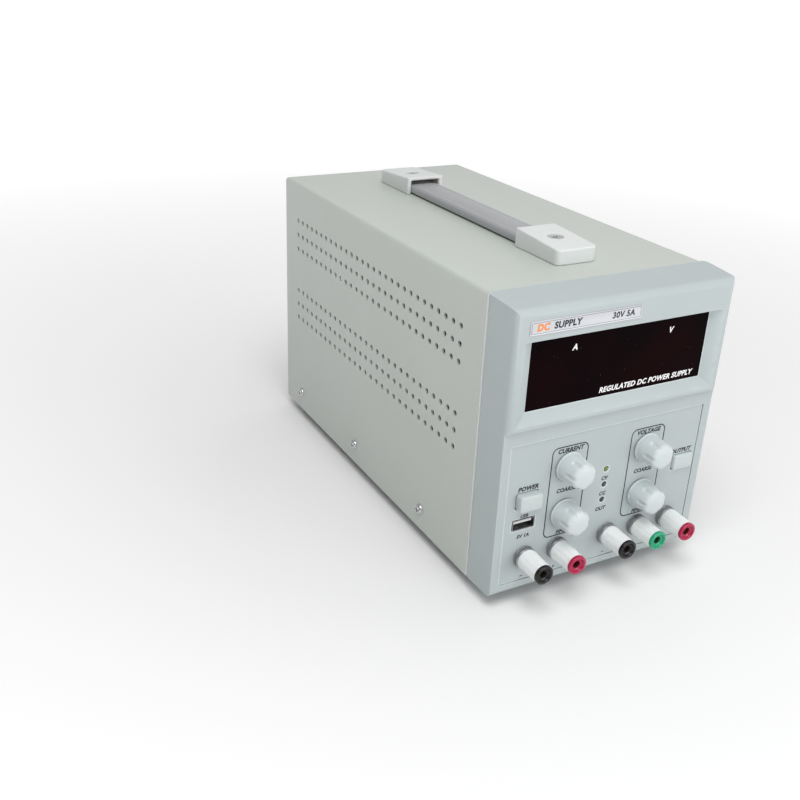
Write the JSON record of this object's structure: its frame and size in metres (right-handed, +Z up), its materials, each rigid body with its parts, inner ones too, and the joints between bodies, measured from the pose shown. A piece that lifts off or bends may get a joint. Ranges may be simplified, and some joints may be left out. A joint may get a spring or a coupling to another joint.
{
  "type": "bench power supply",
  "caption": "Benchtop DC power supply in a vented steel case with a hooded display, rotary controls, push buttons, binding posts and a folding strap handle.",
  "frame": {"origin": "bottom centre of the bounding box, on the plane the feet rest on", "axes": "+X to the right seen from the front, -Y to the front panel, +Z up"},
  "size_m": [0.134, 0.285, 0.1712],
  "materials": {
    "case_paint": "satin light grey paint",
    "zinc_steel": "zinc plated",
    "bezel_plastic": "fine textured moulded plastic",
    "window_acrylic": "polished dark red acrylic",
    "silver_label": "satin",
    "screw_steel": "bright plated",
    "foot_rubber": "matte",
    "white_plastic": "smooth off-white moulding",
    "strap_vinyl": "flexible grey vinyl",
    "core_iron": "laminated, varnished",
    "coil_tape": "amber insulating tape",
    "circuit_board": "solder mask",
    "brass": "plated",
    "capacitor_sleeve": "dark blue sleeve",
    "black_plastic": "fine texture",
    "heat_sink_aluminium": "extruded",
    "cable_sheath": "smooth",
    "pot_metal": "plated",
    "led_lens": "clear tinted lens",
    "collar_metal": "knurled nickel plate",
    "knob_plastic": "soft satin light grey",
    "shaft_metal": "turned",
    "ring_black": "gloss",
    "ring_red": "gloss",
    "ring_green": "gloss"
  },
  "bodies": {
    "root": {"top_cover": "case_paint", "base_chassis": "zinc_steel", "rear_panel": "case_paint", "front_bezel": "bezel_plastic", "control_panel": "bezel_plastic", "display_window": "window_acrylic", "name_plate": "silver_label", "case_screws": "screw_steel", "feet": "foot_rubber", "handle_caps": "white_plastic", "handle_screws": "screw_steel", "transformer_core": "core_iron", "transformer_coil": "coil_tape", "transformer_strap": "zinc_steel", "transformer_bolts": "screw_steel", "main_board": "circuit_board", "board_spacers": "brass", "filter_capacitors": "capacitor_sleeve", "bridge_rectifier": "black_plastic", "heat_sink": "heat_sink_aluminium", "power_transistors": "black_plastic", "wiring": "cable_sheath", "front_board": "circuit_board", "digit_modules": "black_plastic", "potentiometers": "pot_metal", "potentiometer_nuts": "screw_steel", "push_switches": "black_plastic", "indicator_leds": "led_lens", "usb_socket": "collar_metal", "post_collars": "collar_metal", "post_studs": "brass", "post_nuts": "screw_steel", "mains_inlet": "black_plastic", "inlet_pins": "brass", "fan_frame": "black_plastic", "fan_guard": "zinc_steel"},
    "current_coarse_control": {"current_coarse_knob": "knob_plastic", "current_coarse_shaft": "shaft_metal"},
    "current_fine_control": {"current_fine_knob": "knob_plastic", "current_fine_shaft": "shaft_metal"},
    "voltage_coarse_control": {"voltage_coarse_knob": "knob_plastic", "voltage_coarse_shaft": "shaft_metal"},
    "voltage_fine_control": {"voltage_fine_knob": "knob_plastic", "voltage_fine_shaft": "shaft_metal"},
    "power_push": {"power_button": "white_plastic"},
    "output_push": {"output_button": "white_plastic"},
    "aux_negative_carrier": {"aux_negative_ring": "ring_black"},
    "aux_negative_nut": {"aux_negative_cap": "white_plastic"},
    "aux_positive_carrier": {"aux_positive_ring": "ring_red"},
    "aux_positive_nut": {"aux_positive_cap": "white_plastic"},
    "main_negative_carrier": {"main_negative_ring": "ring_black"},
    "main_negative_nut": {"main_negative_cap": "white_plastic"},
    "ground_carrier": {"ground_ring": "ring_green"},
    "ground_nut": {"ground_cap": "white_plastic"},
    "main_positive_carrier": {"main_positive_ring": "ring_red"},
    "main_positive_nut": {"main_positive_cap": "white_plastic"},
    "strap_rear_half": {"strap_rear": "strap_vinyl"},
    "strap_front_half": {"strap_front": "strap_vinyl"},
    "fan_wheel": {"fan_rotor": "black_plastic"},
    "fuse_tray": {"fuse_drawer": "black_plastic"}
  },
  "joints": [
    {"name": "current_coarse_turn", "type": "hinge", "parent": "root", "child": "current_coarse_control", "pos_m": [-0.024, -0.13205, 0.0735], "axis": [0, -1, 0], "range_deg": [-150, 150]},
    {"name": "current_fine_turn", "type": "hinge", "parent": "root", "child": "current_fine_control", "pos_m": [-0.024, -0.13205, 0.047], "axis": [0, -1, 0], "range_deg": [-150, 150]},
    {"name": "voltage_coarse_turn", "type": "hinge", "parent": "root", "child": "voltage_coarse_control", "pos_m": [0.025, -0.13205, 0.0735], "axis": [0, -1, 0], "range_deg": [-150, 150]},
    {"name": "voltage_fine_turn", "type": "hinge", "parent": "root", "child": "voltage_fine_control", "pos_m": [0.025, -0.13205, 0.047], "axis": [0, -1, 0], "range_deg": [-150, 150]},
    {"name": "power_press", "type": "slide", "parent": "root", "child": "power_push", "axis": [0, 1, 0], "range_m": [0, 0.0028]},
    {"name": "output_release", "type": "slide", "parent": "root", "child": "output_push", "axis": [0, -1, 0], "range_m": [-0.0004, 0.0028]},
    {"name": "aux_negative_travel", "type": "slide", "parent": "root", "child": "aux_negative_carrier", "axis": [0, -1, 0], "range_m": [0, 0.0045]},
    {"name": "aux_negative_unscrew", "type": "hinge", "parent": "aux_negative_carrier", "child": "aux_negative_nut", "pos_m": [-0.046, -0.13205, 0.027], "axis": [0, -1, 0], "range_deg": [0, 1621]},
    {"name": "aux_positive_travel", "type": "slide", "parent": "root", "child": "aux_positive_carrier", "axis": [0, -1, 0], "range_m": [0, 0.0045]},
    {"name": "aux_positive_unscrew", "type": "hinge", "parent": "aux_positive_carrier", "child": "aux_positive_nut", "pos_m": [-0.026, -0.13205, 0.027], "axis": [0, -1, 0], "range_deg": [0, 1621]},
    {"name": "main_negative_travel", "type": "slide", "parent": "root", "child": "main_negative_carrier", "axis": [0, -1, 0], "range_m": [0, 0.0045]},
    {"name": "main_negative_unscrew", "type": "hinge", "parent": "main_negative_carrier", "child": "main_negative_nut", "pos_m": [0.006, -0.13205, 0.027], "axis": [0, -1, 0], "range_deg": [0, 1621]},
    {"name": "ground_travel", "type": "slide", "parent": "root", "child": "ground_carrier", "axis": [0, -1, 0], "range_m": [0, 0.0045]},
    {"name": "ground_unscrew", "type": "hinge", "parent": "ground_carrier", "child": "ground_nut", "pos_m": [0.026, -0.13205, 0.027], "axis": [0, -1, 0], "range_deg": [0, 1621]},
    {"name": "main_positive_travel", "type": "slide", "parent": "root", "child": "main_positive_carrier", "axis": [0, -1, 0], "range_m": [0, 0.0045]},
    {"name": "main_positive_unscrew", "type": "hinge", "parent": "main_positive_carrier", "child": "main_positive_nut", "pos_m": [0.046, -0.13205, 0.027], "axis": [0, -1, 0], "range_deg": [0, 1621]},
    {"name": "handle_lift", "type": "hinge", "parent": "root", "child": "strap_rear_half", "pos_m": [0, 0.07995, 0.16425], "axis": [-1, 0, 0], "range_deg": [0, 17]},
    {"name": "handle_flex", "type": "hinge", "parent": "strap_rear_half", "child": "strap_front_half", "pos_m": [0, 0.0137, 0.162], "axis": [-1, 0, 0], "range_deg": [-34, 0]},
    {"name": "fan_spin", "type": "hinge", "parent": "root", "child": "fan_wheel", "pos_m": [0, 0.12495, 0.107], "axis": [0, 1, 0], "continuous": true},
    {"name": "fuse_pull", "type": "slide", "parent": "root", "child": "fuse_tray", "axis": [0, 1, 0], "range_m": [0, 0.02]}
  ],
  "couplings": [
    {"joint": "aux_negative_unscrew", "follows": "aux_negative_travel", "rad_per_m": 6283.2},
    {"joint": "aux_positive_unscrew", "follows": "aux_positive_travel", "rad_per_m": 6283.2},
    {"joint": "main_negative_unscrew", "follows": "main_negative_travel", "rad_per_m": 6283.2},
    {"joint": "ground_unscrew", "follows": "ground_travel", "rad_per_m": 6283.2},
    {"joint": "main_positive_unscrew", "follows": "main_positive_travel", "rad_per_m": 6283.2},
    {"joint": "handle_flex", "follows": "handle_lift", "ratio": -2}
  ]
}
